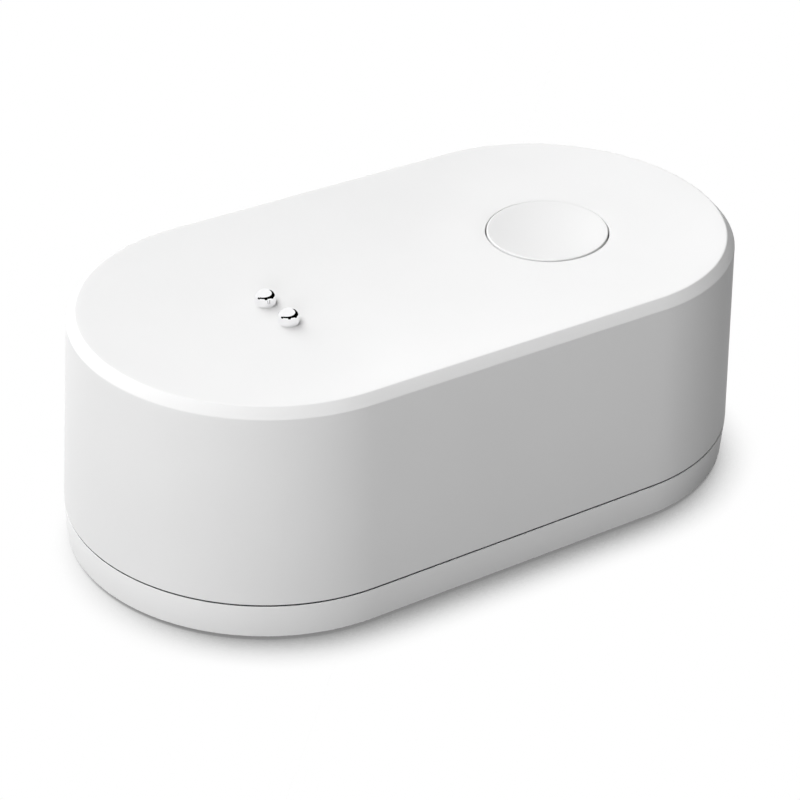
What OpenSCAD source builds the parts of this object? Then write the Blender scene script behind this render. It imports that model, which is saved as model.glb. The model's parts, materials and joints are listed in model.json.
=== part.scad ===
// Water leak sensor: a stadium shaped puck that lies on the floor on four metal probes.
// The origin is the middle of the footprint on the floor, +X points to the button end and +Z is up.
// All sizes are in millimetres.

/* [Case] */
// Widest width of the case, at the seam
case_w = 41; // [37:0.5:50]
// Distance between the centres of the two round ends
spine_len = 34.3; // [33:0.1:50]
// Height from the bottom edge of the base cover to the top rim
case_h = 25.1; // [22.6:0.1:32]
// Height of the base cover, up to the seam
base_h = 3.75; // [3.2:0.05:5]
// How far the side leans in between the seam and the chamfer
side_lean = 0.96; // [0.2:0.02:1.6]
// How far the base cover leans in below the seam
base_lean = 0.2; // [0.05:0.05:0.6]
// Width of the chamfer round the top
chamfer_w = 0.87; // [0.3:0.01:1.5]
// Height of the chamfer round the top
chamfer_h = 0.94; // [0.3:0.01:1.5]
// Depth of the dished top below its rim, at the middle
dish_depth = 1.4; // [0.5:0.01:1.6]
// Least width of the flat rim round the dished top
rim_land = 0.3; // [0.1:0.05:1]
// Thickness of the side walls
wall = 1.8; // [1.4:0.1:2.4]
// Thickness of the top where it is thinnest
top_wall = 1.7; // [1.5:0.1:2.2]
// Thickness of the base cover's floor
floor_t = 2; // [1.7:0.1:2.3]
// Width of the seam line between housing and base cover
seam_gap = 0.2; // [0.05:0.05:0.4]
// How far the gasket in the seam lies back from the case's side
gasket_inset = 0.08; // [0.05:0.01:0.4]
// Height of the base cover's tongue above the seam
tongue_h = 2.7; // [2.4:0.1:4]
// Thickness of the base cover's tongue
tongue_t = 1.4; // [1.2:0.1:2]

/* [Button] */
// Diameter of the hole for the button
button_hole_d = 13; // [11:0.1:14]
// Gap between button and hole, all round
button_gap = 0.15; // [0.1:0.05:0.3]
// How far the button's rim stands above the top
button_proud = 0.15; // [0.05:0.05:0.8]
// Depth of the button's own dish
button_dish = 0.45; // [0.1:0.05:0.6]
// Travel of the button
button_travel = 0.4; // [0.2:0.05:0.45]
// Diameter of the button's stem
stem_d = 4; // [3.6:0.1:5]
// Height of the button switch on the board
switch_h = 1.6; // [1.4:0.1:3.6]

/* [Drip probes] */
// Diameter of a drip probe's head
drip_d = 2.15; // [1.9:0.05:2.8]
// Height of a drip probe above the top
drip_h = 1.5; // [1:0.05:2]
// Height of the dome on a drip probe
drip_dome = 0.68; // [0.4:0.02:0.9]
// Diameter of a drip probe's stem
drip_stem_d = 1.6; // [1.2:0.1:1.8]
// Distance between the drip probes
drip_pitch = 4.4; // [4:0.1:6]
// Distance from the round end's centre to the drip probes, towards the middle
drip_inset = 1.2; // [0:0.1:1.6]

/* [Floor probes] */
// How far the floor probes hold the base cover off the floor
probe_stand = 0.4; // [0.3:0.1:0.8]
// Diameter of a floor probe's flat head
probe_head_d = 4.6; // [4:0.1:5]
// Height of a floor probe's head
probe_head_h = 1.2; // [1:0.1:1.3]
// Diameter of a floor probe's shank
probe_shank_d = 2; // [1.6:0.1:2.4]
// Length of a floor probe's thread in its pillar
probe_grip = 3.8; // [3:0.1:5]
// Diameter of the brass pillars that the floor probes screw into
pillar_d = 4.4; // [4:0.1:5]

/* [Power] */
// Diameter of a cell
cell_d = 10.5; // [10:0.1:10.7]
// Length of a cell with its contact nub
cell_len = 44.5; // [39.5:0.1:49.5]
// Length of a contact spring between its cell and its plate
spring_len = 2.7; // [2.2:0.1:3]
// Diameter of the contact spring wire
spring_wire = 0.5; // [0.4:0.05:0.6]
// Thickness of the battery tray's walls
tray_wall = 1; // [0.8:0.1:1.1]
// Thickness of the contact plates
plate_t = 0.4; // [0.3:0.05:0.6]

/* [Board] */
// Thickness of the main board
board_t = 1.2; // [1:0.1:1.3]
// Diameter of the small case screws
screw_d = 1.8; // [1.6:0.1:2]
// Diameter of the posts that the small screws hold in
post_d = 4.4; // [4:0.1:5]
// Diameter of the sounder's brass disc
sounder_d = 18; // [14:0.5:18.5]

/* [Hidden] */
$fn = 72;
dish_fn = 360;

// Clearances
tongue_clear = 0.3;
seal_clear = 0.04;
slide_clear = 0.04;
thread_clear = 0.05;
hole_clear = 0.1;
board_clear = 0.7;
pillar_clear = 0.5;
pad_margin = 0.1;
cell_clear = 0.3;
cell_gap = 0.5;
cell_lift = 0.5;
rib_clear = 0.25;
weld = 0.5;

// Heights of the case
z_base = probe_stand;
z_floor = z_base + floor_t;
z_seam = z_base + base_h;
z_rim = z_base + case_h;
z_dish = z_rim - dish_depth;
z_ceiling = z_dish - top_wall;
z_shoulder = z_rim - chamfer_h;
z_tongue = z_seam + tongue_h;

// Radii of the case's round ends
spine_half = spine_len / 2;
r_seam = case_w / 2;
r_bottom = r_seam - base_lean;
r_shoulder = r_seam - side_lean;
r_rim = r_shoulder - chamfer_w;
function side_r(z) = r_seam - side_lean * (z - z_seam) / (z_shoulder - z_seam);
function inner_r(z) = side_r(z) - wall;
function base_r(z) = r_bottom + base_lean * (z - z_base) / base_h;

// The dish is part of a torus, with one arc along the top and a tighter one across it
function arc_r(chord, rise) = (chord * chord / 4 + rise * rise) / (2 * rise);
r_dish = r_rim - rim_land;
dish_rx = arc_r(spine_len + 2 * r_dish, dish_depth);
dish_ry = arc_r(2 * r_dish, dish_depth);
function dish_reach(y) = dish_rx - dish_ry + sqrt(dish_ry * dish_ry - y * y);
function top_z(x, y) = z_dish + dish_rx - sqrt(pow(dish_reach(y), 2) - x * x);

// Tongue of the base cover and the seal ring in its groove
r_tongue = inner_r(z_tongue) - tongue_clear;
r_tongue_in = r_tongue - tongue_t;
groove_rise = 0.75;
groove_depth = 0.75;
seal_h = 1.1;
z_groove = z_seam + groove_rise;
r_groove = r_tongue - groove_depth;
r_seal = inner_r(z_groove + seal_h) - seal_clear;

// Cells, contacts and tray
z_cell = z_floor + cell_lift + cell_d / 2;
cell_y = (cell_d + cell_gap) / 2;
nub_len = 1;
nub_r = 1.9;
crimp = 0.3;
contact_x = (cell_len + spring_len) / 2;
plate_w = 8;
tail_w = 2.4;
tray_x = contact_x + plate_t + tray_wall;
tray_y_in = cell_y + cell_d / 2 + cell_clear;
tray_y = tray_y_in + tray_wall;
tray_lift = 1;
z_tray_low = z_floor + tray_lift;
z_tray_in = z_cell + cell_d / 2 + cell_clear;
tab_edge = 2.6;
tab_w = 5;
rib_x = 12;
rib_t = 1.6;
rib_h = 2.5;
rib_end = 0.5;
spring_turns = 3;
spring_steps = 16;
spring_sides = 6;
spring_r_plate = 3.7;
spring_r_cell = 1.8;
spring_rest = 0.02;

// Main board
z_board = z_tray_in + tray_wall;
z_board_top = z_board + board_t;
board_r = inner_r(z_board_top) - board_clear;
side_screw_y = board_r - post_d / 2 - hole_clear;
board_screws_at = [[0, side_screw_y], [0, -side_screw_y]];
post_edge = 0.6;
tab_x = spine_half + board_r - post_d / 2 - post_edge;
tray_screws_at = [[tab_x, 0], [-tab_x, 0]];
screw_head_d = 3.2;
screw_head_h = 1.2;
screw_grip = 4.5;
pilot_depth = 5;
recess_w = 1.9;
recess_t = 0.5;
recess_depth = 0.6;

// Floor probes, set close to the round ends and clear of the tray
pillar_reach = r_tongue_in - pillar_d / 2 - pillar_clear;
pillar_x = tray_x + pillar_clear + pillar_d / 2;
pillar_y = sqrt(pow(pillar_reach, 2) - pow(pillar_x - spine_half, 2));
probes_at = [for (sx = [-1, 1]) for (sy = [-1, 1]) [sx * pillar_x, sy * pillar_y]];
probe_ring_t = 0.5;
z_counterbore = probe_head_h + probe_ring_t;
probe_recess = 0.2;
pillar_bore_spare = 0.7;
head_chamfer = 0.25;
drive_w = 2;
drive_depth = 0.7;

// Button, its seal and retainer, and the switch under it
button_at = [spine_half, 0];
button_r = button_hole_d / 2 - button_gap;
button_ends = [for (sx = [-1, 1]) top_z(button_at[0] + sx * button_hole_d / 2, 0)];
button_slope = (button_ends[1] - button_ends[0]) / button_hole_d;
z_button = (button_ends[0] + button_ends[1]) / 2 + button_proud;
cap_dish_spare = 0.05;
flange_w = 1.2;
flange_t = 0.6;
flange_r = button_r + flange_w;
z_flange_top = z_ceiling - slide_clear;
z_flange = z_flange_top - flange_t;
stop_clear = 0.05;
stem_seal_t = 0.5;
cup_floor_t = 0.6;
cup_clear = 0.45;
cup_wall = 1.3;
z_cup_in = z_flange - button_travel - stop_clear - stem_seal_t;
z_cup = z_cup_in - cup_floor_t;
cup_r_in = flange_r + cup_clear;
cup_r = cup_r_in + cup_wall;
ear_r = 2.2;
ear_y = cup_r + ear_r;
retainer_pilot = 0.9;
switch_w = 6;
plunger_d = 3.4;
plunger_proud = 0.7;
plunger_sunk = 0.5;
z_switch = z_board_top + switch_h;
z_plunger = z_switch + plunger_proud;

// Drip probes
drip_x = -(spine_half - drip_inset);
drips_at = [[drip_x, drip_pitch / 2], [drip_x, -drip_pitch / 2]];
z_drip = top_z(drip_x, drip_pitch / 2);
drip_sink = 0.8;
drip_washer_t = 0.5;
drip_nut_t = 1;
drip_nut_d = 3.7;
z_drip_washer = z_ceiling - drip_washer_t;
z_drip_nut = z_drip_washer - drip_nut_t;
pin_h = 2.2;
pin_tip_h = 0.8;
pin_barrel_d = 1.8;
pin_tip_d = 0.9;
z_drip_end = z_board_top + pin_h;

// Sounder, midway between the button's retainer and the drip probes
sounder_x = (button_at[0] - cup_r + drip_x + drip_nut_d / 2) / 2;
sounder_ring_w = 1;
sounder_ring_h = 1;
disc_t = 0.2;
ceramic_t = 0.25;
ceramic_edge = 2.5;
z_disc = z_ceiling - sounder_ring_h - disc_t;
z_ceramic = z_disc - ceramic_t;
lead_d = 0.6;
disc_lead_at = [sounder_x + sounder_d / 2 - ceramic_edge / 2, 0];
ceramic_lead_at = [sounder_x + sounder_d / 2 - 1.5 * ceramic_edge, -1.5];

// Parts on the board, as [x, y] of the middle and [x, y, z] sizes
shield_at = [sounder_x - 1, 6];
shield_size = [11, 9, 2.2];
shield_lip = 0.4;
crystal_at = [sounder_x - 1, -3.5];
crystal_size = [3.2, 2.5, 0.8];
inductor_at = [sounder_x + 6, -8];
inductor_size = [5, 5, 2];
inductor_core_d = 3.8;
inductor_core_h = 0.2;
antenna_at = [drip_x - 5, 11];
antenna_size = [7, 2, 1];
antenna_pad = 0.8;
lamp_at = [button_at[0] - 4.8, 0];
lamp_size = [1.3, 2, 0.6];
lamp_lens_h = 0.3;
lamp_lens_in = 0.2;
caps_at = [for (i = [0:2]) [sounder_x + 8.5 + 2.6 * i, 8]];
cap_size = [1.2, 2, 1];
cap_pad = 0.4;

// Sweeps a half profile round the stadium: x is the distance from the spine, y is the height
module swept() {
    for (side = [0, 1])
        rotate([0, 0, 180 * side])
            translate([spine_half, 0, 0])
                rotate([0, 0, -90])
                    rotate_extrude(angle = 180)
                        children();
    translate([-spine_half, 0, 0])
        rotate([90, 0, 90])
            linear_extrude(spine_len) {
                children();
                mirror([1, 0])
                    children();
            }
}

// A plate of stadium plan
module stadium_plate(r, z, t) {
    translate([0, 0, z])
        linear_extrude(t)
            union() {
                square([spine_len, 2 * r], center = true);
                for (sx = [-1, 1])
                    translate([sx * spine_half, 0])
                        circle(r);
            }
}

// A cylinder that stands at a place, from one height to another
module rod(at, d, z_low, z_high) {
    translate([at[0], at[1], z_low])
        cylinder(h = z_high - z_low, d = d);
}

// A ring that stands at a place
module ring(at, d_in, d_out, z, t) {
    translate([at[0], at[1], z])
        linear_extrude(t)
            difference() {
                circle(d = d_out);
                circle(d = d_in);
            }
}

// A block that stands on a height, given by its middle in plan and its size
module block(at, z, size) {
    translate([at[0] - size[0] / 2, at[1] - size[1] / 2, z])
        cube(size);
}

// A small screw with a cross recess, head down, with the head's top face at a height
module small_screw(at, z, grip) {
    difference() {
        union() {
            rod(at, screw_head_d, z - screw_head_h, z);
            rod(at, screw_d, z - screw_head_h / 2, z + grip);
        }
        for (turn = [0, 90])
            translate([at[0], at[1], z - screw_head_h])
                rotate([0, 0, turn])
                    cube([recess_w, recess_t, 2 * recess_depth], center = true);
    }
}

// The profile of the upper shell, before the dish is cut out of it
module housing_profile() {
    z_low = z_seam + seam_gap / 2;
    polygon([
        [side_r(z_low), z_low],
        [r_shoulder, z_shoulder],
        [r_rim, z_rim],
        [0, z_rim],
        [0, z_ceiling],
        [inner_r(z_ceiling), z_ceiling],
        [inner_r(z_low), z_low]
    ]);
}

// What the dish takes out of the top: a thick slice of a torus that stands on edge
module dish_cut() {
    depth = dish_depth + weld;
    translate([0, 0, z_dish + dish_rx])
        rotate([90, 0, 0])
            rotate_extrude($fn = dish_fn)
                intersection() {
                    translate([dish_rx - dish_ry, 0])
                        circle(dish_ry, $fn = dish_fn);
                    translate([dish_rx - depth, -case_w])
                        square([depth, 2 * case_w]);
                }
}

module upper_housing() {
    color("white")
        difference() {
            union() {
                swept()
                    housing_profile();
                for (at = concat(board_screws_at, tray_screws_at))
                    rod(at, post_d, z_board_top, z_ceiling + weld);
                for (side = [-1, 1])
                    rod(button_at + [0, side * ear_y], 2 * ear_r, z_cup_in, z_ceiling + weld);
                ring([sounder_x, 0], sounder_d - 2 * sounder_ring_w, sounder_d,
                     z_ceiling - sounder_ring_h, sounder_ring_h + weld);
            }
            dish_cut();
            for (at = concat(board_screws_at, tray_screws_at))
                rod(at, screw_d + 2 * thread_clear, z_board_top - weld, z_board_top + pilot_depth);
            for (side = [-1, 1])
                rod(button_at + [0, side * ear_y], screw_d + 2 * thread_clear,
                    z_cup_in - weld, z_ceiling + retainer_pilot);
            rod(button_at, button_hole_d, z_ceiling - weld, z_rim + weld);
            for (at = drips_at) {
                rod(at, drip_stem_d + 2 * hole_clear, z_ceiling - weld, z_rim);
                rod(at, drip_d + 2 * slide_clear, z_drip - drip_sink, z_rim + weld);
            }
        }
}

module base_cover() {
    z_top = z_seam - seam_gap / 2;
    color("white")
        difference() {
            union() {
                swept()
                    polygon([
                        [0, z_base],
                        [r_bottom, z_base],
                        [base_r(z_top), z_top],
                        [r_tongue, z_top],
                        [r_tongue, z_groove],
                        [r_groove, z_groove],
                        [r_groove, z_groove + seal_h],
                        [r_tongue, z_groove + seal_h],
                        [r_tongue, z_tongue],
                        [r_tongue_in, z_tongue],
                        [r_tongue_in, z_floor],
                        [0, z_floor]
                    ]);
                for (at = probes_at)
                    rod(at, pillar_d + 2 * pad_margin, z_floor - weld, z_seam);
                for (sx = [-1, 1])
                    block([sx * rib_x, 0], z_floor - weld,
                          [rib_t, 2 * (tray_y_in - rib_end), rib_h + weld]);
            }
            for (sy = [-1, 1])
                translate([-contact_x, sy * cell_y, z_cell])
                    rotate([0, 90, 0])
                        cylinder(h = 2 * contact_x, r = cell_d / 2 + rib_clear);
            for (at = probes_at) {
                rod(at, probe_shank_d + 2 * hole_clear, z_base - weld, z_seam + weld);
                rod(at, probe_head_d + 2 * probe_recess, z_base - weld, z_counterbore);
            }
        }
}

module base_seal_ring() {
    color("dimgray")
        swept()
            translate([r_groove, z_groove])
                square([r_seal - r_groove, seal_h]);
}

// A flat ring that lies on the base cover's ledge and shows as the dark line of the seam
module seam_gasket() {
    z_ledge = z_seam - seam_gap / 2;
    r_in = r_tongue + hole_clear;
    r_out = base_r(z_ledge) - gasket_inset;
    color("dimgray")
        swept()
            translate([r_in, z_ledge])
                square([r_out - r_in, seam_gap - seal_clear]);
}

// The cap's rim follows the slope of the dish round it, and its face has a dish of its own
module button_cap() {
    edge = button_r + cap_dish_spare;
    cap_dish_r = arc_r(2 * edge, button_dish);
    z_full = z_button + button_slope * button_r + weld;
    color("white")
        translate([button_at[0], button_at[1], 0])
            difference() {
                rotate_extrude()
                    polygon([
                        [0, z_plunger],
                        [stem_d / 2, z_plunger],
                        [stem_d / 2, z_flange],
                        [flange_r, z_flange],
                        [flange_r, z_flange_top],
                        [button_r, z_flange_top],
                        [button_r, z_full],
                        [0, z_full]
                    ]);
                translate([0, 0, z_button])
                    rotate([0, -atan(button_slope), 0])
                        translate([0, 0, cap_dish_r - button_dish])
                            sphere(cap_dish_r, $fn = dish_fn);
            }
}

module button_stem_seal() {
    color("lightgray")
        ring(button_at, stem_d + 2 * seal_clear, 2 * (cup_r_in - seal_clear), z_cup_in, stem_seal_t);
}

module button_retainer() {
    color("gainsboro")
        difference() {
            union() {
                rod(button_at, 2 * cup_r, z_cup, z_ceiling);
                for (side = [-1, 1]) {
                    rod(button_at + [0, side * ear_y], 2 * ear_r, z_cup, z_cup_in);
                    block(button_at + [0, side * ear_y / 2], z_cup, [2 * ear_r, ear_y, cup_floor_t]);
                }
            }
            rod(button_at, 2 * cup_r_in, z_cup_in, z_ceiling + weld);
            rod(button_at, stem_d + 2 * hole_clear, z_cup - weld, z_ceiling);
            for (side = [-1, 1])
                rod(button_at + [0, side * ear_y], screw_d + 2 * hole_clear, z_cup - weld, z_ceiling);
        }
}

module retainer_screws() {
    color("silver")
        for (side = [-1, 1])
            small_screw(button_at + [0, side * ear_y], z_cup,
                        z_ceiling + retainer_pilot - z_cup - thread_clear);
}

module button_switch() {
    color("darkslategray")
        difference() {
            block(button_at, z_board_top, [switch_w, switch_w, switch_h]);
            rod(button_at, plunger_d + 2 * slide_clear,
                z_switch - plunger_sunk - button_travel - stop_clear, z_switch + weld);
        }
}

module switch_plunger() {
    color("black")
        rod(button_at, plunger_d, z_switch - plunger_sunk, z_plunger);
}

module main_board() {
    color("darkgreen")
        difference() {
            stadium_plate(board_r, z_board, board_t);
            for (at = concat(board_screws_at, tray_screws_at))
                rod(at, screw_d + 2 * hole_clear, z_board - weld, z_board_top + weld);
        }
}

module board_screws() {
    color("silver")
        for (at = board_screws_at)
            small_screw(at, z_board, board_t + screw_grip);
}

module radio_shield() {
    lid = shield_size - [2 * shield_lip, 2 * shield_lip, shield_lip];
    color("silver")
        union() {
            block(shield_at, z_board_top, [shield_size[0], shield_size[1], shield_size[2] - shield_lip]);
            block(shield_at, z_board_top, [lid[0], lid[1], shield_size[2]]);
        }
}

module chip_antenna() {
    color("white")
        union() {
            block(antenna_at, z_board_top, antenna_size);
            for (sx = [-1, 1])
                block(antenna_at + [sx * (antenna_size[0] + antenna_pad) / 2, 0], z_board_top,
                      [antenna_pad, antenna_size[1], antenna_size[2]]);
        }
}

module crystal() {
    color("silver")
        block(crystal_at, z_board_top, crystal_size);
}

module boost_inductor() {
    color("gray")
        union() {
            block(inductor_at, z_board_top, inductor_size);
            rod(inductor_at, inductor_core_d, z_board_top, z_board_top + inductor_size[2] + inductor_core_h);
        }
}

module filter_capacitors() {
    color("tan")
        for (at = caps_at) {
            block(at, z_board_top, cap_size);
            for (sy = [-1, 1])
                block(at + [0, sy * (cap_size[1] + cap_pad) / 2], z_board_top,
                      [cap_size[0], cap_pad, cap_size[2]]);
        }
}

module status_lamp() {
    lens = lamp_size - 2 * [lamp_lens_in, lamp_lens_in, 0];
    color("ivory")
        union() {
            block(lamp_at, z_board_top, lamp_size);
            block(lamp_at, z_board_top, [lens[0], lens[1], lamp_size[2] + lamp_lens_h]);
        }
}

module sounder_disc() {
    color("goldenrod")
        rod([sounder_x, 0], sounder_d, z_disc, z_disc + disc_t);
}

module sounder_ceramic() {
    color("ivory")
        rod([sounder_x, 0], sounder_d - 2 * ceramic_edge, z_ceramic, z_disc);
}

module sounder_leads() {
    color("red")
        union() {
            rod(disc_lead_at, lead_d, z_board_top, z_disc);
            rod(ceramic_lead_at, lead_d, z_board_top, z_ceramic);
        }
}

module drip_probe(i) {
    r = drip_d / 2;
    z_top = z_drip + drip_h;
    dome_r = (r * r + drip_dome * drip_dome) / (2 * drip_dome);
    color("silver")
        translate([drips_at[i - 1][0], drips_at[i - 1][1], 0])
            rotate_extrude()
                union() {
                    translate([0, z_drip_end])
                        square([drip_stem_d / 2, z_drip - z_drip_end]);
                    translate([0, z_drip - drip_sink])
                        square([r, drip_sink + drip_h - drip_dome]);
                    intersection() {
                        translate([0, z_top - drip_dome])
                            square([r, drip_dome]);
                        translate([0, z_top - dome_r])
                            circle(dome_r);
                    }
                }
}

module drip_probe_washer(i) {
    color("dimgray")
        ring(drips_at[i - 1], drip_stem_d + 2 * thread_clear, drip_nut_d, z_drip_washer, drip_washer_t);
}

module drip_probe_nut(i) {
    color("gold")
        difference() {
            translate([drips_at[i - 1][0], drips_at[i - 1][1], z_drip_nut])
                cylinder(h = drip_nut_t, d = drip_nut_d, $fn = 6);
            rod(drips_at[i - 1], drip_stem_d + 2 * thread_clear, z_drip_nut - weld, z_drip_washer + weld);
        }
}

module drip_probe_contact(i) {
    color("gold")
        union() {
            rod(drips_at[i - 1], pin_barrel_d, z_board_top, z_drip_end - pin_tip_h);
            rod(drips_at[i - 1], pin_tip_d, z_board_top, z_drip_end);
        }
}

module battery_tray() {
    wall_h = z_board - z_tray_low;
    color("whitesmoke")
        difference() {
            union() {
                block([0, 0], z_tray_low, [2 * tray_x, 2 * tray_y, wall_h]);
                block([0, 0], z_tray_in, [2 * (tab_x + tab_edge), tab_w, tray_wall]);
            }
            block([0, 0], z_tray_low - weld,
                  [2 * (contact_x + plate_t), 2 * tray_y_in, z_tray_in - z_tray_low + weld]);
            for (sy = [-1, 1])
                block([contact_x + plate_t / 2, sy * cell_y], z_tray_in - weld,
                      [plate_t, tail_w + 2 * hole_clear, tray_wall + 2 * weld]);
            for (at = tray_screws_at)
                rod(at, screw_d + 2 * hole_clear, z_tray_in - weld, z_board + weld);
            for (at = board_screws_at)
                rod(at, screw_head_d + 2 * hole_clear, z_board - screw_head_h - hole_clear, z_board + weld);
        }
}

module tray_screws() {
    color("silver")
        for (at = tray_screws_at)
            small_screw(at, z_tray_in, tray_wall + board_t + screw_grip);
}

// A contact plate with a tail that runs up to the board
module contact_plate(sy) {
    block([contact_x + plate_t / 2, sy * cell_y], z_tray_low, [plate_t, plate_w, z_tray_in - z_tray_low]);
    block([contact_x + plate_t / 2, sy * cell_y], z_tray_low, [plate_t, tail_w, z_board - z_tray_low]);
}

module bridge_contact() {
    color("silver")
        block([-contact_x - plate_t / 2, 0], z_tray_low,
              [plate_t, 2 * cell_y + plate_w, z_tray_in - z_tray_low]);
}

module positive_contact() {
    color("silver")
        contact_plate(1);
}

module negative_contact() {
    color("silver")
        contact_plate(-1);
}

// A cell that lies along X, turned end for end on the other side
module battery_cell(i) {
    side = i == 1 ? 0 : 180;
    body_r = cell_d / 2;
    body_end = cell_len - nub_len;
    color("steelblue")
        rotate([0, 0, side])
            translate([-contact_x + spring_len, cell_y, z_cell])
                rotate([0, 90, 0])
                    rotate_extrude()
                        polygon([
                            [0, 0],
                            [body_r - crimp, 0],
                            [body_r, crimp],
                            [body_r, body_end - crimp],
                            [body_r - crimp, body_end],
                            [nub_r, body_end],
                            [nub_r, cell_len],
                            [0, cell_len]
                        ]);
}

// One unbroken wire wound to a cone, from the plate in towards the cell's flat end
function spring_share(k) = k / (spring_turns * spring_steps);
function spring_x(k) = let (run = spring_len - spring_wire - 2 * spring_rest)
    -contact_x + spring_wire / 2 + spring_rest + run * spring_share(k);
function spring_rr(k) = spring_r_plate + (spring_r_cell - spring_r_plate) * spring_share(k);
function spring_point(k, j) = let (
        turn = 360 * k / spring_steps,
        swing = 360 * j / spring_sides,
        reach = spring_rr(k) + spring_wire / 2 * cos(swing)
    ) [spring_x(k) + spring_wire / 2 * sin(swing), reach * cos(turn), reach * sin(turn)];
function spring_middle(k) = let (turn = 360 * k / spring_steps)
    [spring_x(k), spring_rr(k) * cos(turn), spring_rr(k) * sin(turn)];
spring_last = spring_turns * spring_steps;
spring_gaps = [
    for (k = [0:spring_last - spring_steps])
        norm(spring_middle(k + spring_steps) - spring_middle(k)) - spring_wire
];
echo(spring_least_gap = min(spring_gaps));

module contact_spring(i) {
    side = i == 1 ? 0 : 180;
    points = [for (k = [0:spring_last]) for (j = [0:spring_sides - 1]) spring_point(k, j)];
    walls = [
        for (k = [0:spring_last - 1]) for (j = [0:spring_sides - 1])
            let (a = k * spring_sides + j, b = k * spring_sides + (j + 1) % spring_sides)
                each [[a, b, b + spring_sides], [a, b + spring_sides, a + spring_sides]]
    ];
    near_end = [for (j = [1:spring_sides - 2]) [0, j + 1, j]];
    far_end = [for (j = [1:spring_sides - 2]) [0, j, j + 1] + spring_last * spring_sides * [1, 1, 1]];
    color("silver")
        rotate([0, 0, side])
            translate([0, cell_y, z_cell])
                polyhedron(points, concat(walls, near_end, far_end));
}

// A screw with a hexagon socket in its flat head, which is a foot and a water contact
module floor_probe(i) {
    r = probe_head_d / 2;
    color("silver")
        translate([probes_at[i - 1][0], probes_at[i - 1][1], 0])
            difference() {
                rotate_extrude()
                    polygon([
                        [0, 0],
                        [r - head_chamfer, 0],
                        [r, head_chamfer],
                        [r, probe_head_h],
                        [probe_shank_d / 2, probe_head_h],
                        [probe_shank_d / 2, z_seam + probe_grip],
                        [0, z_seam + probe_grip]
                    ]);
                translate([0, 0, -weld])
                    cylinder(h = weld + drive_depth, d = drive_w / cos(30), $fn = 6);
            }
}

module floor_probe_seal(i) {
    color("dimgray")
        ring(probes_at[i - 1], probe_shank_d + 2 * thread_clear, probe_head_d, probe_head_h, probe_ring_t);
}

module probe_pillar(i) {
    color("gold")
        difference() {
            translate([probes_at[i - 1][0], probes_at[i - 1][1], z_seam])
                cylinder(h = z_board - z_seam, d = pillar_d, $fn = 6);
            rod(probes_at[i - 1], probe_shank_d + 2 * thread_clear, z_seam - weld,
                z_seam + probe_grip + pillar_bore_spare);
        }
}

upper_housing();
base_cover();
base_seal_ring();
seam_gasket();
button_cap();
button_stem_seal();
button_retainer();
retainer_screws();
button_switch();
switch_plunger();
main_board();
board_screws();
radio_shield();
chip_antenna();
crystal();
boost_inductor();
filter_capacitors();
status_lamp();
sounder_disc();
sounder_ceramic();
sounder_leads();
battery_tray();
tray_screws();
bridge_contact();
positive_contact();
negative_contact();
for (i = [1:2]) {
    drip_probe(i);
    drip_probe_washer(i);
    drip_probe_nut(i);
    drip_probe_contact(i);
    battery_cell(i);
    contact_spring(i);
}
for (i = [1:4]) {
    floor_probe(i);
    floor_probe_seal(i);
    probe_pillar(i);
}
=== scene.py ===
"""Looks of a water leak sensor: a white puck with chrome drip probes and a round button."""
import json
import math

import bmesh
import bpy
from mathutils import Matrix, Vector
from mathutils.geometry import delaunay_2d_cdt

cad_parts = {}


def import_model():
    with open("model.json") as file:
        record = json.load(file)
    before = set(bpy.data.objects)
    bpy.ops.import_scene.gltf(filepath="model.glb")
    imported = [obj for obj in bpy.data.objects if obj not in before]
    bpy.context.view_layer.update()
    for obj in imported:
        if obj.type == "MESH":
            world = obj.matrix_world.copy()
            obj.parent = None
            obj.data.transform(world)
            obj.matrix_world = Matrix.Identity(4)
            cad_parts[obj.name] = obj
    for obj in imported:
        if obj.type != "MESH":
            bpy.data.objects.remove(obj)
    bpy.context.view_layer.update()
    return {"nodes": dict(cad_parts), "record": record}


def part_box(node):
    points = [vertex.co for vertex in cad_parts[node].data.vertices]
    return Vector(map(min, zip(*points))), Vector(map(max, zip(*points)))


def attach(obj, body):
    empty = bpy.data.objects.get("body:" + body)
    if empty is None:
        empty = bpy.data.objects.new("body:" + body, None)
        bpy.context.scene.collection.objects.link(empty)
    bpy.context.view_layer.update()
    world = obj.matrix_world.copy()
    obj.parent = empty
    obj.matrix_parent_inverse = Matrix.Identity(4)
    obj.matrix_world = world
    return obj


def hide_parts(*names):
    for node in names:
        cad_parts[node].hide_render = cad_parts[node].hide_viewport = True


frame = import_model()
MM = 0.001

# Sizes of the case that its box doesn't tell
SEAM_GAP = 0.2 * MM
BASE_LEAN = 0.2 * MM
SIDE_LEAN = 0.96 * MM
CHAMFER_W = 0.87 * MM
CHAMFER_H = 0.94 * MM
DISH_DEPTH = 1.4 * MM
WALL = 1.8 * MM
TOP_WALL = 1.7 * MM
FLOOR_T = 2.0 * MM

# Radii of the case's edges
RIM_ROUND = 0.22 * MM
SHOULDER_ROUND = 0.3 * MM
SEAM_ROUND = 0.05 * MM
BOTTOM_ROUND = 0.08 * MM
INNER_ROUND = 0.15 * MM
HOLE_ROUND = 0.08 * MM

# Widths of the swept bands beside the filled faces
TOP_BAND = 0.7 * MM
INNER_BAND = 0.3 * MM

# How finely curves are cut
ARC_STEPS = 72
STRAIGHT_STEPS = 12
ROUND_STEPS = 5
BUTTON_STEPS = 128
SMALL_STEPS = 48
GRID_PITCH = 1.2 * MM
GRID_CLEAR = 0.5 * MM
WELD = 0.002 * MM
SHARP_ANGLE = math.radians(32)

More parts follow.
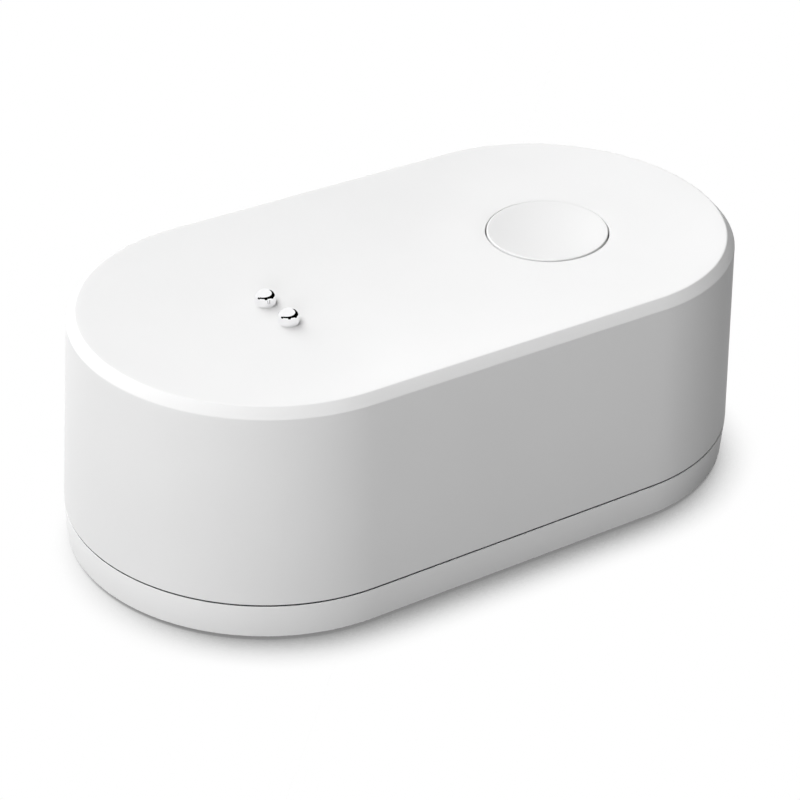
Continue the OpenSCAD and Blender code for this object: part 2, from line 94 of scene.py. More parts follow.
# The case in the frame
housing_low, housing_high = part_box("upper_housing")
base_low, base_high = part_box("base_cover")
SPINE_HALF = housing_high.x - housing_high.y
Z_SPLIT = housing_low.z
Z_BASE = base_low.z
Z_BASE_TOP = Z_SPLIT - SEAM_GAP
Z_SEAM = Z_SPLIT - SEAM_GAP / 2
Z_RIM = housing_high.z
Z_DISH = Z_RIM - DISH_DEPTH
Z_CEILING = Z_DISH - TOP_WALL
Z_SHOULDER = Z_RIM - CHAMFER_H
Z_FLOOR = Z_BASE + FLOOR_T
R_SPLIT = housing_high.y
R_SHOULDER = R_SPLIT - SIDE_LEAN * (Z_SHOULDER - Z_SPLIT) / (Z_SHOULDER - Z_SEAM)
R_RIM = R_SHOULDER - CHAMFER_W
R_BASE_TOP = base_high.y
R_BASE = R_BASE_TOP - BASE_LEAN * (Z_BASE_TOP - Z_BASE) / (Z_SEAM - Z_BASE)


def middle(node):
    """The middle of a CAD node in plan."""
    low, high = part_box(node)
    return (low + high) / 2


def spine_distance(x, y):
    """Distance in plan from the line between the centres of the round ends."""
    return math.hypot(max(abs(x) - SPINE_HALF, 0.0), y)


def rim_share(x, y):
    """How far a place lies from the middle towards the rim, as a share of the way."""
    x, y = abs(x), abs(y)
    if x * R_RIM <= y * SPINE_HALF:
        return y / R_RIM
    spread = R_RIM ** 2 - SPINE_HALF ** 2
    along = SPINE_HALF * x
    return (math.sqrt(along ** 2 + spread * (x * x + y * y)) - along) / spread


def top_z(x, y):
    """Height of the dished top."""
    return Z_DISH + DISH_DEPTH * rim_share(x, y) ** 2


def side_r(z):
    """Radius of the housing's leaning side."""
    return R_SPLIT + (R_SHOULDER - R_SPLIT) * (z - Z_SPLIT) / (Z_SHOULDER - Z_SPLIT)


# Shapes


def rounded(points, radii, steps=ROUND_STEPS):
    """A polyline whose inner corners are arcs of the given radii."""
    line = [Vector(points[0])]
    for before, corner, after, radius in zip(points, points[1:], points[2:], radii):
        corner = Vector(corner)
        back = (Vector(before) - corner).normalized()
        ahead = (Vector(after) - corner).normalized()
        half = back.angle(ahead) / 2
        if radius <= 0:
            line.append(corner)
            continue
        reach = radius / math.tan(half)
        centre = corner + (back + ahead).normalized() * radius / math.sin(half)
        start = corner + back * reach - centre
        swing = start.angle_signed(corner + ahead * reach - centre)
        line += [centre + Matrix.Rotation(-swing * k / steps, 2) @ start for k in range(steps + 1)]
    line.append(Vector(points[-1]))
    return [(p.x, p.y) for p in line]


def stadium_stations():
    """Places round the stadium, as the end's centre and the outward direction."""
    stations = []
    for side, first in ((1, -math.pi / 2), (-1, math.pi / 2)):
        for k in range(ARC_STEPS + 1):
            turn = first + math.pi * k / ARC_STEPS
            stations.append((side * SPINE_HALF, math.cos(turn), math.sin(turn)))
        for k in range(1, STRAIGHT_STEPS):
            x = side * SPINE_HALF * (1 - 2 * k / STRAIGHT_STEPS)
            stations.append((x, 0.0, float(side)))
    return stations


STATIONS = stadium_stations()


def stadium_loop(r):
    """Points of a stadium outline in plan."""
    return [(cx + r * dx, r * dy) for cx, dx, dy in STATIONS]


def circle_loop(at, r, steps):
    """Points of a circle in plan."""
    turns = [2 * math.pi * k / steps for k in range(steps)]
    return [(at[0] + r * math.cos(t), at[1] + r * math.sin(t)) for t in turns]


def level(x, y, z):
    """The height of a profile's point, the same all round."""
    return z


def on_top(x, y, z):
    """The height of a profile's point that is given from the dished top."""
    return top_z(x, y) + z


def near_rim(x, y, z):
    """The height of a profile's point that is drawn for the middle of the side, where it nears the rim."""
    r = spine_distance(x, y)
    return z + top_z(x, y) - top_z(0, r) if z > Z_SHOULDER and r < R_RIM else z


class Shape:
    """A mesh that is put together from strips, rings and filled faces, then welded."""

    def __init__(self):
        self.bm = bmesh.new()

    def strip(self, loops):
        """Quads between closed loops of points that have equal counts."""
        rows = [[self.bm.verts.new(p) for p in loop] for loop in loops]
        count = len(rows[0])
        for low, high in zip(rows, rows[1:]):
            for k in range(count):
                n = (k + 1) % count
                self.bm.faces.new((low[k], low[n], high[n], high[k]))

    def sweep(self, profile, height=level):
        """A profile of (distance from the spine, height), swept round the stadium."""
        self.strip([[(x, y, height(x, y, z)) for x, y in stadium_loop(r)] for r, z in profile])

    def rings(self, at, profile, steps, height=level):
        """A profile of (radius, height), turned round a place. Its heights may vary round it."""
        self.strip([[(x, y, height(x, y, z)) for x, y in circle_loop(at, r, steps)] for r, z in profile])

    def turned(self, at, profile, steps, height=level):
        """A solid of revolution, whose profile starts and ends on the axis."""
        self.rings(at, profile[1:-1], steps, height)
        for (_, z), (r, edge_z) in ((profile[0], profile[1]), (profile[-1], profile[-2])):
            tip = self.bm.verts.new((at[0], at[1], z))
            rim = [self.bm.verts.new((x, y, height(x, y, edge_z))) for x, y in circle_loop(at, r, steps)]
            for k in range(steps):
                self.bm.faces.new((rim[k], rim[(k + 1) % steps], tip))

    def filled(self, outer, holes, height, grid=True):
        """A face with round holes, as triangles on a height that may vary."""
        points = [Vector(p) for p in outer]
        edges = [(k, (k + 1) % len(outer)) for k in range(len(outer))]
        for at, r, steps in holes:
            start = len(points)
            points += [Vector(p) for p in circle_loop(at, r, steps)]
            edges += [(start + k, start + (k + 1) % steps) for k in range(steps)]
        if grid:
            points += self.grid_points(outer, holes)
        verts, _, faces, _, _, _ = delaunay_2d_cdt(points, edges, [], 0, WELD / 10)
        made = [self.bm.verts.new((v.x, v.y, height(v.x, v.y))) for v in verts]
        for face in faces:
            centre = sum((verts[k] for k in face), Vector((0, 0))) / len(face)
            if all(math.dist(centre, at) > r for at, r, _ in holes):
                self.bm.faces.new([made[k] for k in face])

    def grid_points(self, outer, holes):
        """Points inside an outline, for a smooth curved face."""
        reach = max(spine_distance(x, y) for x, y in outer) - GRID_CLEAR
        count_x = int((SPINE_HALF + reach) / GRID_PITCH)
        count_y = int(reach / GRID_PITCH)
        points = []
        for i in range(-count_x, count_x + 1):
            for j in range(-count_y, count_y + 1):
                x = (i + 0.5 * (j % 2)) * GRID_PITCH
                y = j * GRID_PITCH
                clear = all(math.dist((x, y), at) > r + GRID_CLEAR for at, r, _ in holes)
                if spine_distance(x, y) < reach and clear:
                    points.append(Vector((x, y)))
        return points

    def prism(self, outline, x_low, x_high):
        """An outline of (y, z) points, drawn out along X."""
        ends = [[self.bm.verts.new((x, y, z)) for y, z in outline] for x in (x_low, x_high)]
        count = len(outline)
        for k in range(count):
            n = (k + 1) % count
            self.bm.faces.new((ends[0][k], ends[0][n], ends[1][n], ends[1][k]))
        for end in ends:
            self.bm.faces.new(end)

    def finish(self, name, material, body, node):
        """Welds the mesh, makes it an object, and sets it in the frame in place of its CAD node."""
        bmesh.ops.remove_doubles(self.bm, verts=self.bm.verts, dist=WELD)
        bmesh.ops.recalc_face_normals(self.bm, faces=self.bm.faces)
        for edge in self.bm.edges:
            edge.smooth = edge.calc_face_angle(0.0) < SHARP_ANGLE
        for face in self.bm.faces:
            face.smooth = True
        mesh = bpy.data.meshes.new(name)
        self.bm.to_mesh(mesh)
        self.bm.free()
        mesh.materials.append(material)
        piece = bpy.data.objects.new(name, mesh)
        bpy.context.scene.collection.objects.link(piece)
        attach(piece, body)
        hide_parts(node)


# Materials

# The values between which most of a noise texture lies
NOISE_LOW = 0.3
NOISE_HIGH = 0.7


def ramp(tree, source, stops):
    """Colours by a value, from stops of (value, colour)."""
    node = tree.nodes.new("ShaderNodeValToRGB")
    elements = node.color_ramp.elements
    while len(elements) < len(stops):
        elements.new(0.5)
    for element, (position, colour) in zip(elements, stops):
        element.position = position
        element.color = (*colour, 1)
    tree.links.new(source, node.inputs["Fac"])
    return node.outputs["Color"]


class Material:
    """A procedural material whose nodes are added by name."""

    def __init__(self, name):
        self.material = bpy.data.materials.new(name)
        self.material.use_nodes = True
        self.tree = self.material.node_tree
        self.shader = self.tree.nodes["Principled BSDF"]
        self.place = self.tree.nodes.new("ShaderNodeTexCoord").outputs["Object"]

    def set(self, **values):
        """Sets values on the shader's own sockets."""
        for name, value in values.items():
            self.shader.inputs[name.replace("_", " ")].default_value = value

    def noise(self, scale, detail=3.0, stretch=(1, 1, 1)):
        """Noise over the object, with features of about 1 / scale metres."""
        mapping = self.tree.nodes.new("ShaderNodeMapping")
        mapping.inputs["Scale"].default_value = stretch
        texture = self.tree.nodes.new("ShaderNodeTexNoise")
        texture.inputs["Scale"].default_value = scale
        texture.inputs["Detail"].default_value = detail
        self.tree.links.new(self.place, mapping.inputs["Vector"])
        self.tree.links.new(mapping.outputs["Vector"], texture.inputs["Vector"])
        return texture.outputs["Fac"]

    def range(self, source, socket, low, high):
        """Maps a texture's middle range to a socket's values."""
        node = self.tree.nodes.new("ShaderNodeMapRange")
        node.inputs["From Min"].default_value = NOISE_LOW
        node.inputs["From Max"].default_value = NOISE_HIGH
        node.inputs["To Min"].default_value = low
        node.inputs["To Max"].default_value = high
        self.tree.links.new(source, node.inputs["Value"])
        self.tree.links.new(node.outputs["Result"], self.shader.inputs[socket])

    def ramp(self, source, stops):
        """Colours a surface by a texture."""
        self.tree.links.new(ramp(self.tree, source, stops), self.shader.inputs["Base Color"])

    def bump(self, source, depth):
        """Raises a surface by a texture, to a depth in metres."""
        node = self.tree.nodes.new("ShaderNodeBump")
        node.inputs["Distance"].default_value = depth
        self.tree.links.new(source, node.inputs["Height"])
        self.tree.links.new(node.outputs["Normal"], self.shader.inputs["Normal"])


def shade(colour, factor):
    """A colour made lighter or darker."""
    return tuple(min(1.0, c * factor) for c in colour)


def plastic(name, colour, roughness, grain=9000.0, depth=0.000002, spread=0.012, gloss=0.5):
    """Moulded plastic with a fine spark-eroded grain and a faint unevenness of tone."""
    m = Material(name)
    m.set(IOR=1.5, Specular_IOR_Level=gloss)
    cloud = m.noise(60.0, 2.0)
    m.ramp(cloud, [(NOISE_LOW, shade(colour, 1 - spread)), (NOISE_HIGH, shade(colour, 1 + spread))])
    texture = m.noise(grain, 2.0)
    m.range(texture, "Roughness", roughness - 0.05, roughness + 0.05)
    m.bump(texture, depth)
    return m.material


def metal(name, colour, roughness, brushed=(1, 1, 1), scale=2500.0, spread=0.05, wear=0.05):
    """Metal with fine marks, drawn out along one axis where it is brushed."""
    m = Material(name)
    m.set(Metallic=1.0)
    marks = m.noise(scale, 4.0, brushed)
    m.ramp(marks, [(0.35, shade(colour, 1 - spread)), (0.65, shade(colour, 1 + spread))])
    m.range(marks, "Roughness", roughness - wear, roughness + wear)
    return m.material


def rubber(name, colour):
    """Matte rubber with a dusty bloom."""
    m = Material(name)
    m.set(IOR=1.5, Specular_IOR_Level=0.3)
    bloom = m.noise(900.0, 4.0)
    m.ramp(bloom, [(0.35, colour), (0.7, shade(colour, 1.5))])
    m.range(bloom, "Roughness", 0.6, 0.8)
    m.bump(bloom, 0.00001)
    return m.material


def board(name):
    """Solder mask over glass fibre, with paler streaks where copper runs under it."""
    m = Material(name)
    m.set(Roughness=0.3, Coat_Weight=0.3)
    tracks = m.noise(450.0, 0.0, (1, 0.12, 1))
    m.ramp(tracks, [(0.46, (0.012, 0.1, 0.045)), (0.5, (0.02, 0.17, 0.075))])
    m.bump(tracks, 0.00003)
    return m.material


def jacket(name):
    """The printed jacket of a cell: dark blue with a metallic gloss and a faint unevenness of tone."""
    m = Material(name)
    m.set(Roughness=0.28, Metallic=0.4)
    cloud = m.noise(120.0, 2.0)
    m.ramp(cloud, [(NOISE_LOW, (0.03, 0.08, 0.2)), (NOISE_HIGH, (0.04, 0.1, 0.24))])
    return m.material


WHITE = (0.85, 0.85, 0.85)
materials = {
    "case_white": plastic("case_white", WHITE, 0.5, gloss=0.25),
    # The base's white is the case's plastic made a little lighter: painted light for the bounce light the
    # leaning base gets less of near the floor.
    "base_white": plastic("base_white", (0.87, 0.87, 0.87), 0.5, gloss=0.25),
    "button_white": plastic("button_white", (0.81, 0.81, 0.81), 0.45, gloss=0.25),
    "inner_plastic": plastic("inner_plastic", (0.7, 0.7, 0.69), 0.5),
    "black_plastic": plastic("black_plastic", (0.03, 0.03, 0.03), 0.4),
    "white_ceramic": plastic("white_ceramic", (0.78, 0.76, 0.7), 0.55),
    "tan_ceramic": plastic("tan_ceramic", (0.48, 0.34, 0.19), 0.5),
    "lamp_clear": plastic("lamp_clear", (0.85, 0.8, 0.55), 0.15),
    "lead_red": plastic("lead_red", (0.5, 0.03, 0.03), 0.35),
    "seal_silicone": rubber("seal_silicone", (0.5, 0.5, 0.49)),
    # Black rubber of the seals. Where it lines the seam of the case, its black also stands in for the shade
    # in the gap: painted shade.
    "seal_rubber": rubber("seal_rubber", (0.03, 0.03, 0.032)),
    "probe_chrome": metal("probe_chrome", (0.95, 0.95, 0.96), 0.025, spread=0.01, wear=0.01),
    "probe_steel": metal("probe_steel", (0.7, 0.7, 0.71), 0.22),
    "screw_steel": metal("screw_steel", (0.62, 0.62, 0.63), 0.3),
    "shield_metal": metal("shield_metal", (0.68, 0.68, 0.67), 0.35, (1, 0.08, 1)),
    "contact_steel": metal("contact_steel", (0.7, 0.69, 0.66), 0.3, (1, 1, 0.08)),
    "brass": metal("brass", (0.75, 0.56, 0.25), 0.28),
    "ferrite": plastic("ferrite", (0.09, 0.09, 0.095), 0.7, 3000.0, 0.00002, 0.2),
    "board_green": board("board_green"),
    "cell_jacket": jacket("cell_jacket"),
}

record = frame["record"]
slots = {part["node"]: part["material_slot"] for part in record["subparts"]}
for node, cad_object in frame["nodes"].items():
    cad_object.data.materials.clear()
    cad_object.data.materials.append(materials[slots[node]])


# Upper housing

BUTTON = middle("button_cap")
BUTTON_HOLE_R = 6.5 * MM
DRIPS = [middle("drip_probe_1"), middle("drip_probe_2")]
DRIP_R = (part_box("drip_probe_1")[1].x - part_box("drip_probe_1")[0].x) / 2
DRIP_CLEAR = 0.005 * MM
DRIP_HOLE_R = DRIP_R + DRIP_CLEAR
DRIP_STEM_R = 0.9 * MM
DRIP_SINK = 0.8 * MM
SCREW_HOLE_R = 0.95 * MM
POST_R = 2.2 * MM
PILOT_DEPTH = 5.0 * MM
RETAINER_PILOT = 0.9 * MM
Z_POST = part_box("main_board")[1].z
RETAINER_FLOOR = 0.6 * MM
Z_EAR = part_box("button_retainer")[0].z + RETAINER_FLOOR
SOUNDER = middle("sounder_disc")
SOUNDER_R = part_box("sounder_disc")[1].x - SOUNDER.x
SOUNDER_RING_W = 1.0 * MM
Z_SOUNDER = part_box("sounder_disc")[1].z


def pair_places(node):
    """Places of the two screws in a group that lie on either side of the middle."""
    low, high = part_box(node)
    centre = (low + high) / 2
    span = high - low
    reach = Vector((span.x, span.y)) - Vector((min(span.x, span.y),) * 2)
    return [Vector((centre.x, centre.y)) + side * reach / 2 for side in (-1, 1)]


def upper_housing():
    """The shell with its dished top, the holes for button and drip probes, and the posts and ring inside."""
    shape = Shape()
    r_band = R_RIM - TOP_BAND
    r_ceiling = side_r(Z_CEILING) - WALL - INNER_BAND
    profile = [
        (r_band, top_z(0, r_band)),
        (R_RIM, Z_RIM),
        (R_SHOULDER, Z_SHOULDER),
        (R_SPLIT, Z_SPLIT),
        (R_SPLIT - WALL, Z_SPLIT),
        (side_r(Z_CEILING) - WALL, Z_CEILING),
        (r_ceiling, Z_CEILING),
    ]
    radii = [RIM_ROUND, SHOULDER_ROUND, SEAM_ROUND, SEAM_ROUND, INNER_ROUND]
    shape.sweep(rounded(profile, radii), near_rim)

    hole_edge = BUTTON_HOLE_R + HOLE_ROUND
    top_holes = [(BUTTON.xy, hole_edge, BUTTON_STEPS)]
    top_holes += [(at.xy, DRIP_HOLE_R, SMALL_STEPS) for at in DRIPS]
    shape.filled(stadium_loop(r_band), top_holes, top_z)

    lip = rounded([(hole_edge, 0), (BUTTON_HOLE_R, 0), (BUTTON_HOLE_R, -2 * HOLE_ROUND)], [HOLE_ROUND])
    shape.rings(BUTTON, lip, BUTTON_STEPS, on_top)
    lip_end = [(x, y, top_z(x, y) - 2 * HOLE_ROUND)
               for x, y in circle_loop(BUTTON, BUTTON_HOLE_R, BUTTON_STEPS)]
    shape.strip([lip_end, [(x, y, Z_CEILING) for x, y, _ in lip_end]])

    ceiling_holes = [(BUTTON.xy, BUTTON_HOLE_R, BUTTON_STEPS)]
    for at in DRIPS:
        z_step = top_z(at.x, at.y) - DRIP_SINK
        mouth = [(x, y, top_z(x, y)) for x, y in circle_loop(at, DRIP_HOLE_R, SMALL_STEPS)]
        shape.strip([mouth, [(x, y, z_step) for x, y, _ in mouth]])
        shape.rings(at, [(DRIP_HOLE_R, z_step), (DRIP_STEM_R, z_step), (DRIP_STEM_R, Z_CEILING)], SMALL_STEPS)
        ceiling_holes.append((at.xy, DRIP_STEM_R, SMALL_STEPS))

    posts = [(at, Z_POST, Z_POST + PILOT_DEPTH)
             for node in ("board_screws", "tray_screws") for at in pair_places(node)]
    posts += [(at, Z_EAR, Z_CEILING + RETAINER_PILOT) for at in pair_places("retainer_screws")]
    for at, z_end, z_pilot in posts:
        shape.rings(at, [(POST_R, Z_CEILING), (POST_R, z_end), (SCREW_HOLE_R, z_end),
                         (SCREW_HOLE_R, z_pilot)], SMALL_STEPS)
        shape.filled(circle_loop(at, SCREW_HOLE_R, SMALL_STEPS), [], lambda x, y, z=z_pilot: z, False)
        ceiling_holes.append((at, POST_R, SMALL_STEPS))

    ring_in = SOUNDER_R - SOUNDER_RING_W
    shape.rings(SOUNDER, [(SOUNDER_R, Z_CEILING), (SOUNDER_R, Z_SOUNDER), (ring_in, Z_SOUNDER),
                          (ring_in, Z_CEILING)], BUTTON_STEPS)
    shape.filled(circle_loop(SOUNDER, ring_in, BUTTON_STEPS), [], lambda x, y: Z_CEILING, False)
    ceiling_holes.append((SOUNDER.xy, SOUNDER_R, BUTTON_STEPS))
    shape.filled(stadium_loop(r_ceiling), ceiling_holes, lambda x, y: Z_CEILING, False)
    shape.finish("upper_housing_shell", materials["case_white"], "housing", "upper_housing")


# Base cover

TONGUE_CLEAR = 0.3 * MM
TONGUE_T = 1.4 * MM
GROOVE_DEPTH = 0.75 * MM
PROBE_HOLE_R = 1.1 * MM
PROBE_RECESS_R = 2.5 * MM
PAD_R = 2.3 * MM
RIB_X = 12.0 * MM
RIB_T = 1.6 * MM
RIB_H = 2.5 * MM
RIB_END = 0.5 * MM
RIB_CLEAR = 0.25 * MM
RIB_STEPS = 24
TRAY_WALL = 1.0 * MM


def rib_outline():
    """A rib across the floor, hollowed out under the two cells, as (y, z) points."""
    cell_low, cell_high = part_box("battery_cell_1")
    cell = (cell_low + cell_high) / 2
    cell_r = (cell_high.z - cell_low.z) / 2 + RIB_CLEAR
    z_top = Z_FLOOR + RIB_H
    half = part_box("battery_tray")[1].y - TRAY_WALL - RIB_END
    swing = math.acos((cell.z - z_top) / cell_r)
    outline = [(-half, Z_FLOOR), (half, Z_FLOOR), (half, z_top)]
    for y in (cell.y, -cell.y):
        for k in range(RIB_STEPS + 1):
            turn = swing * (1 - 2 * k / RIB_STEPS)
            outline.append((y + cell_r * math.sin(turn), cell.z - cell_r * math.cos(turn)))
    return outline + [(-half, z_top)]


def base_cover():
    """The tray below the seam, with its tongue, seal groove, probe holes and ribs."""
    shape = Shape()
    r_tongue = side_r(base_high.z) - WALL - TONGUE_CLEAR
    r_groove = r_tongue - GROOVE_DEPTH
    r_inner = r_tongue - TONGUE_T
    seal_low, seal_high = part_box("base_seal_ring")
    profile = [
        (R_BASE - TOP_BAND, Z_BASE),
        (R_BASE, Z_BASE),
        (R_BASE_TOP, Z_BASE_TOP),
        (r_tongue, Z_BASE_TOP),
        (r_tongue, seal_low.z),
        (r_groove, seal_low.z),
        (r_groove, seal_high.z),
        (r_tongue, seal_high.z),
        (r_tongue, base_high.z),
        (r_inner, base_high.z),
        (r_inner, Z_FLOOR),
        (r_inner - INNER_BAND, Z_FLOOR),
    ]
    radii = [BOTTOM_ROUND, SEAM_ROUND, 0, 0, 0, 0, 0, INNER_ROUND, INNER_ROUND, INNER_ROUND]
    shape.sweep(rounded(profile, radii))
    probes = [middle(f"floor_probe_{i}") for i in range(1, 5)]
    z_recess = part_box("floor_probe_seal_1")[1].z
    for at in probes:
        shape.rings(at, [(PROBE_RECESS_R, Z_BASE), (PROBE_RECESS_R, z_recess), (PROBE_HOLE_R, z_recess),
                         (PROBE_HOLE_R, Z_SEAM), (PAD_R, Z_SEAM), (PAD_R, Z_FLOOR)], SMALL_STEPS)
    shape.filled(stadium_loop(R_BASE - TOP_BAND), [(at.xy, PROBE_RECESS_R, SMALL_STEPS) for at in probes],
                 lambda x, y: Z_BASE, False)
    shape.filled(stadium_loop(r_inner - INNER_BAND), [(at.xy, PAD_R, SMALL_STEPS) for at in probes],
                 lambda x, y: Z_FLOOR, False)
    for side in (-1, 1):
        shape.prism(rib_outline(), side * RIB_X - RIB_T / 2, side * RIB_X + RIB_T / 2)
    shape.finish("base_cover_shell", materials["base_white"], "base", "base_cover")


# Button cap

BUTTON_R = 6.35 * MM
BUTTON_ROUND = 0.09 * MM
BUTTON_DISH = 0.45 * MM
BUTTON_ROUND_STEPS = 8
DISH_STEPS = 16
STEM_R = 2.0 * MM
FLANGE_T = 0.6 * MM
FLANGE_CLEAR = 0.04 * MM


def button_cap():
    """The cap with its hollow face, flange and stem. Its face leans with the top around it."""
    low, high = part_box("button_cap")
    flange_r = high.x - BUTTON.x
    z_flange = Z_CEILING - FLANGE_CLEAR
    ends = [top_z(BUTTON.x + side * BUTTON_HOLE_R, BUTTON.y) for side in (-1, 1)]
    slope = (ends[1] - ends[0]) / (2 * BUTTON_HOLE_R)
    z_rim = high.z - slope * BUTTON_R
    edge = BUTTON_R - BUTTON_ROUND
    cup = (edge ** 2 + BUTTON_DISH ** 2) / (2 * BUTTON_DISH)
    z_low = z_rim - BUTTON_DISH
    dish = [(r, z_low + cup - math.sqrt(cup ** 2 - r ** 2))
            for r in (edge * (1 - k / DISH_STEPS) for k in range(1, DISH_STEPS))]
    profile = [
        (0, low.z),
        (STEM_R, low.z),
        (STEM_R, z_flange - FLANGE_T),
        (flange_r, z_flange - FLANGE_T),
        (flange_r, z_flange),
        (BUTTON_R, z_flange),
        (BUTTON_R, z_rim),
        dish[0],
    ]
    radii = [0, 0, 0, 0, 0, BUTTON_ROUND]
    profile = rounded(profile, radii, BUTTON_ROUND_STEPS) + dish[1:] + [(0, z_low)]
    shape = Shape()
    shape.turned(BUTTON, profile, BUTTON_STEPS,
                 lambda x, y, z: z + slope * (x - BUTTON.x) if z > z_flange else z)
    shape.finish("button_cap_shell", materials["button_white"], "button", "button_cap")


# Drip probes

DRIP_DOME = 0.68 * MM
DRIP_PIN_R = 0.8 * MM
DRIP_ROUND_STEPS = 14


def drip_probe(i):
    """A pin with a domed head that stands in the top."""
    low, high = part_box(f"drip_probe_{i}")
    at = (low + high) / 2
    r = DRIP_R
    dome_r = (r ** 2 + DRIP_DOME ** 2) / (2 * DRIP_DOME)
    swing = math.asin(r / dome_r)
    z_head = top_z(at.x, at.y) - DRIP_SINK
    profile = [(0, low.z), (DRIP_PIN_R, low.z), (DRIP_PIN_R, z_head), (r, z_head)]
    for k in range(DRIP_ROUND_STEPS):
        turn = swing * (1 - k / DRIP_ROUND_STEPS)
        profile.append((dome_r * math.sin(turn), high.z - dome_r * (1 - math.cos(turn))))
    profile.append((0, high.z))
    shape = Shape()
    shape.turned(at, profile, SMALL_STEPS)
    shape.finish(f"drip_probe_{i}_pin", materials["probe_chrome"], "housing", f"drip_probe_{i}")


upper_housing()
base_cover()
button_cap()
for number in (1, 2):
    drip_probe(number)


# Camera, at the photograph's viewing angle

CAMERA_AT = (-0.130425, -0.186378, 0.149892)
CAMERA_AZIMUTH = math.radians(-34.81)
CAMERA_ELEVATION = math.radians(31.75)
CAMERA_ROLL = math.radians(2.0)
CAMERA_LENS = 115.2
CAMERA_SENSOR = 36.0
CAMERA_NEAR = 0.01


def camera():
    """The camera, from its place, direction, roll and lens."""
    data = bpy.data.cameras.new("camera")
    data.sensor_width = CAMERA_SENSOR
    data.lens = CAMERA_LENS
    data.clip_start = CAMERA_NEAR
    a, e = CAMERA_AZIMUTH, CAMERA_ELEVATION
    back = Vector((math.sin(a) * math.cos(e), -math.cos(a) * math.cos(e), math.sin(e)))
    right = Vector((math.cos(a), math.sin(a), 0))
    up = back.cross(right)
    turned_right = math.cos(CAMERA_ROLL) * right + math.sin(CAMERA_ROLL) * up
    turned_up = math.cos(CAMERA_ROLL) * up - math.sin(CAMERA_ROLL) * right
    obj = bpy.data.objects.new("camera", data)
    bpy.context.scene.collection.objects.link(obj)
    basis = Matrix((turned_right, turned_up, back)).transposed()
    obj.matrix_world = Matrix.Translation(CAMERA_AT) @ basis.to_4x4()
    bpy.context.scene.camera = obj


# Floor, background and light

FLOOR_SIZE = 6.0
FLOOR_COLOUR = (0.35, 0.35, 0.35, 1)
WORLD_LIGHT = 0.0

# The contact shadow, painted shade in the floor's glow: how far it reaches in metres, the floor's tones by
# how open it lies there, and the direction that counts as open, which leans towards the light at the back
SHADOW_REACH = 0.0065
SHADOW_STOPS = [(0.3, 0.24), (0.54, 0.8), (0.76, 1.0)]
SHADOW_LEAN = (0.15, 1.0, 1.0)
SHADOW_SAMPLES = 16

# Softboxes, as place, width and height in metres, and power in watts
SOFTBOXES = {
    "back": ((0.0, 0.843, 0.707), 0.8, 0.8, 6.9),
    "back_low": ((0.0, 1.076, 0.229), 0.7, 0.3, 3.4),
    "back_left_low": ((-0.761, 0.761, 0.229), 0.7, 0.3, 1.9),
    "overhead": ((-0.465, 0.0, 0.997), 0.8, 0.8, 8.2),
    "front_low": ((-0.761, -0.761, 0.229), 0.7, 0.3, 5.2),
    "front": ((-0.329, -0.329, 0.997), 0.8, 0.8, 0.8),
}


def grey_ramp(tree, source, stops):
    """Greys by a value, from stops of (value, grey)."""
    return ramp(tree, source, [(position, (grey, grey, grey)) for position, grey in stops])


def along(tree, axis):
    """A direction of the world, measured along an axis."""
    node = tree.nodes.new("ShaderNodeVectorMath")
    node.operation = "DOT_PRODUCT"
    node.inputs[1].default_value = axis
    tree.links.new(tree.nodes.new("ShaderNodeTexCoord").outputs["Generated"], node.inputs[0])
    return node.outputs["Value"]


def combined(tree, operation, first, second):
    """A sum, product or the like of two values."""
    node = tree.nodes.new("ShaderNodeMath")
    node.operation = operation
    for socket, source in zip(node.inputs, (first, second)):
        if isinstance(source, (int, float)):
            socket.default_value = source
        else:
            tree.links.new(source, socket)
    return node.outputs["Value"]


def sight(tree):
    """1 for what the camera sees, straight or in a first reflection, and 0 for light that is passed on."""
    path = tree.nodes.new("ShaderNodeLightPath").outputs
    shown = combined(tree, "MAXIMUM", path["Is Glossy Ray"], path["Is Transmission Ray"])
    first = combined(tree, "LESS_THAN", path["Diffuse Depth"], 0.5)
    shown = combined(tree, "MULTIPLY", shown, first)
    return combined(tree, "MAXIMUM", path["Is Camera Ray"], shown)


def floor():
    """A floor that glows white to the eye but for a painted contact shadow of the object, and grey to the
    light it passes on.
    """
    mesh = bpy.data.meshes.new("floor")
    half = FLOOR_SIZE / 2
    corners = [(-half, -half, 0), (half, -half, 0), (half, half, 0), (-half, half, 0)]
    mesh.from_pydata(corners, [], [(0, 1, 2, 3)])
    obj = bpy.data.objects.new("floor", mesh)
    bpy.context.scene.collection.objects.link(obj)
    material = bpy.data.materials.new("floor")
    material.use_nodes = True
    tree = material.node_tree
    tree.nodes.remove(tree.nodes["Principled BSDF"])
    plain = tree.nodes.new("ShaderNodeBsdfDiffuse")
    plain.inputs["Color"].default_value = FLOOR_COLOUR
    shadow = tree.nodes.new("ShaderNodeAmbientOcclusion")
    shadow.samples = SHADOW_SAMPLES
    shadow.inputs["Distance"].default_value = SHADOW_REACH
    lean = tree.nodes.new("ShaderNodeCombineXYZ")
    for socket, value in zip(lean.inputs, Vector(SHADOW_LEAN).normalized()):
        socket.default_value = value
    tree.links.new(lean.outputs["Vector"], shadow.inputs["Normal"])
    # The floor's white glow, darkened near the object by how closed in it lies: a painted contact shadow.
    white = tree.nodes.new("ShaderNodeEmission")
    tree.links.new(grey_ramp(tree, shadow.outputs["AO"], SHADOW_STOPS), white.inputs["Color"])
    mix = tree.nodes.new("ShaderNodeMixShader")
    tree.links.new(sight(tree), mix.inputs["Fac"])
    tree.links.new(plain.outputs["BSDF"], mix.inputs[1])
    tree.links.new(white.outputs["Emission"], mix.inputs[2])
    tree.links.new(mix.outputs["Shader"], tree.nodes["Material Output"].inputs["Surface"])
    mesh.materials.append(material)


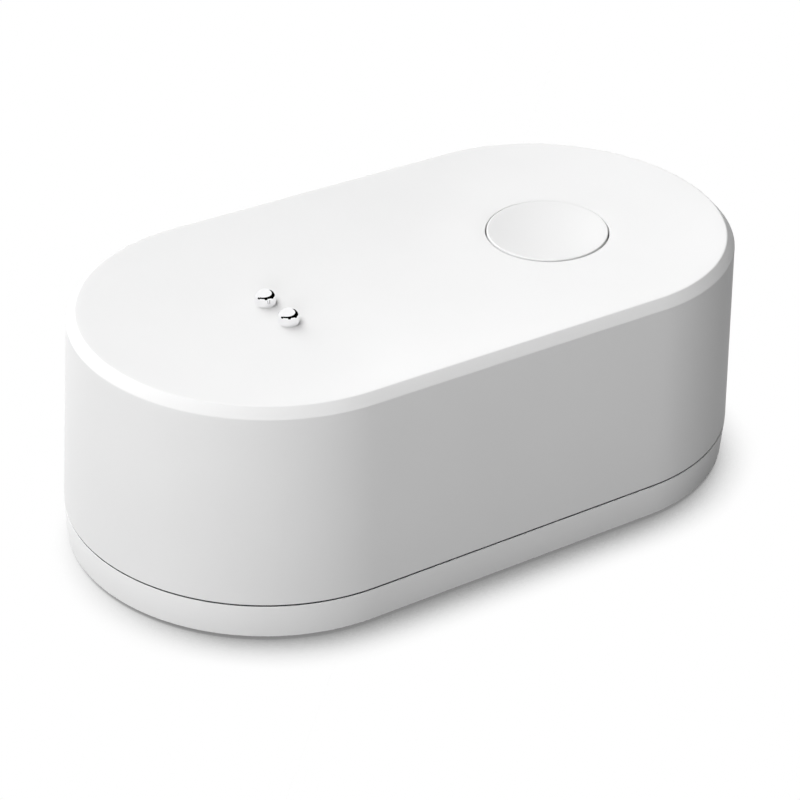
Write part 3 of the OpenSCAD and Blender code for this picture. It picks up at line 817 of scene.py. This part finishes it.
# What metal reflects: a white studio with a dark strip of room between the floor and the softboxes,
# given by heights along two axes that lean to the back. The strip is closed off behind the object,
# and dark stands reach out of it at three places.
STRIP_LOW = ((0.181, 0.361, 1.0), [(0.26, 1.0), (0.3, 0.0)])
STRIP_HIGH = ((0.071, 0.361, 1.0), [(0.59, 0.0), (0.63, 1.0)])
STRIP_END = ((-0.3, 0.95, 0.0), [(0.36, 0.0), (0.44, 1.0)])
STANDS = [(-0.929, 0.249, 0.276), (-0.321, -0.795, 0.515), (0.772, -0.501, 0.391)]
STAND_STOPS = [(0.962, 1.0), (0.973, 0.0)]


def world():
    """White to the camera, and to metal but for the strip of room. The softboxes alone give light."""
    made = bpy.data.worlds.new("world")
    made.use_nodes = True
    tree = made.node_tree
    light = tree.nodes["Background"]
    light.inputs["Strength"].default_value = WORLD_LIGHT
    room = 0.0
    for axis, stops in (STRIP_LOW, STRIP_HIGH, STRIP_END):
        room = combined(tree, "MAXIMUM", room, grey_ramp(tree, along(tree, axis), stops))
    for axis in STANDS:
        room = combined(tree, "MINIMUM", room, grey_ramp(tree, along(tree, axis), STAND_STOPS))
    straight = tree.nodes.new("ShaderNodeLightPath").outputs["Is Camera Ray"]
    seen = tree.nodes.new("ShaderNodeBackground")
    tree.links.new(combined(tree, "MAXIMUM", room, straight), seen.inputs["Color"])
    mix = tree.nodes.new("ShaderNodeMixShader")
    tree.links.new(sight(tree), mix.inputs["Fac"])
    tree.links.new(light.outputs["Background"], mix.inputs[1])
    tree.links.new(seen.outputs["Background"], mix.inputs[2])
    tree.links.new(mix.outputs["Shader"], tree.nodes["World Output"].inputs["Surface"])
    bpy.context.scene.world = made


def softboxes():
    """Area lamps that face the object and aren't seen in metal."""
    for name, (place, width, height, power) in SOFTBOXES.items():
        data = bpy.data.lights.new(name, "AREA")
        data.shape = "RECTANGLE"
        data.size = width
        data.size_y = height
        data.energy = power
        obj = bpy.data.objects.new(name, data)
        obj.visible_glossy = False
        facing = Vector(place).to_track_quat("Z", "Y").to_matrix().to_4x4()
        obj.matrix_world = Matrix.Translation(place) @ facing
        bpy.context.scene.collection.objects.link(obj)


camera()
floor()
world()
softboxes()
bpy.context.scene.view_settings.view_transform = "Standard"
